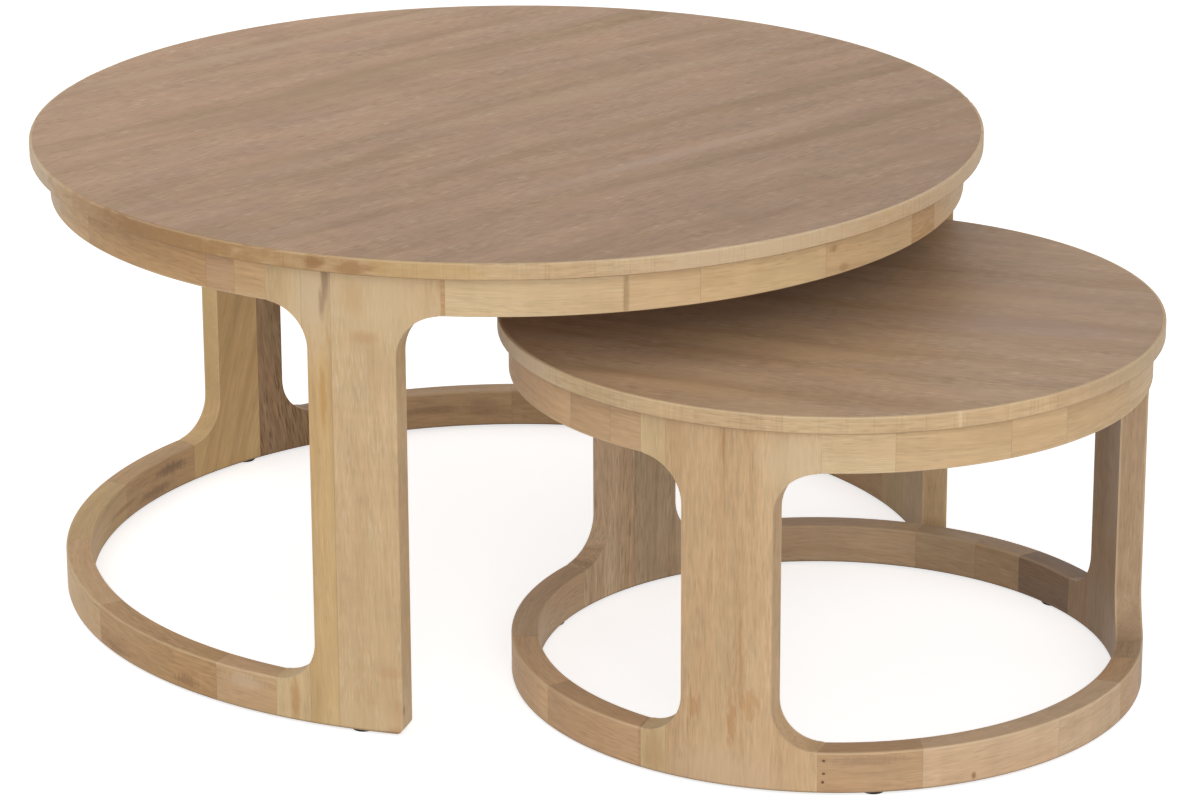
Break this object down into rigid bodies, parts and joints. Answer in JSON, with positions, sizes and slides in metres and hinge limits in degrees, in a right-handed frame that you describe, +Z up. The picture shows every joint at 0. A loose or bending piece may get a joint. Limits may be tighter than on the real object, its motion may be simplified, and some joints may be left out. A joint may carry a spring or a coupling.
{
  "type": "nesting tables",
  "caption": "Pair of round wooden nesting tables: drum frames with curved panel legs, apron rails and floor rings; the small one slides in under the large top.",
  "frame": {"origin": "on the floor, at the middle of the box round both tables as they stand", "axes": "+X is the direction in which the small table slides out from under the large one, +Z is up"},
  "size_m": [1.146, 0.9, 0.45],
  "materials": {
    "veneered_board": "matt lacquered greyish brown wood veneer, straight grain",
    "lipping_wood": "matt lacquered solid wood lipping",
    "frame_wood": "matt lacquered solid wood, yellowish tan",
    "dowel_wood": "plain hardwood dowels",
    "screw_steel": "zinc plated steel",
    "glide_plastic": "black moulded plastic glides"
  },
  "bodies": {
    "large_table": {"large_top_board": "veneered_board", "large_top_lipping": "lipping_wood", "large_leg_front": "frame_wood", "large_leg_back": "frame_wood", "large_leg_end": "frame_wood", "large_rail_outer": "frame_wood", "large_rail_back": "frame_wood", "large_rail_front": "frame_wood", "large_ring_back": "frame_wood", "large_ring_front": "frame_wood", "large_rail_dowels": "dowel_wood", "large_ring_dowels": "dowel_wood", "large_top_screws": "screw_steel", "large_glides": "glide_plastic"},
    "small_table": {"small_top_board": "veneered_board", "small_top_lipping": "lipping_wood", "small_leg_front": "frame_wood", "small_leg_back": "frame_wood", "small_leg_end": "frame_wood", "small_rail_outer": "frame_wood", "small_rail_back": "frame_wood", "small_rail_front": "frame_wood", "small_ring_outer": "frame_wood", "small_ring_back": "frame_wood", "small_ring_front": "frame_wood", "small_rail_dowels": "dowel_wood", "small_ring_dowels": "dowel_wood", "small_top_screws": "screw_steel", "small_glides": "glide_plastic"}
  },
  "joints": [
    {"name": "nest_slide", "type": "slide", "parent": "large_table", "child": "small_table", "axis": [1, 0, 0], "range_m": [-0.396, 0.4]}
  ]
}
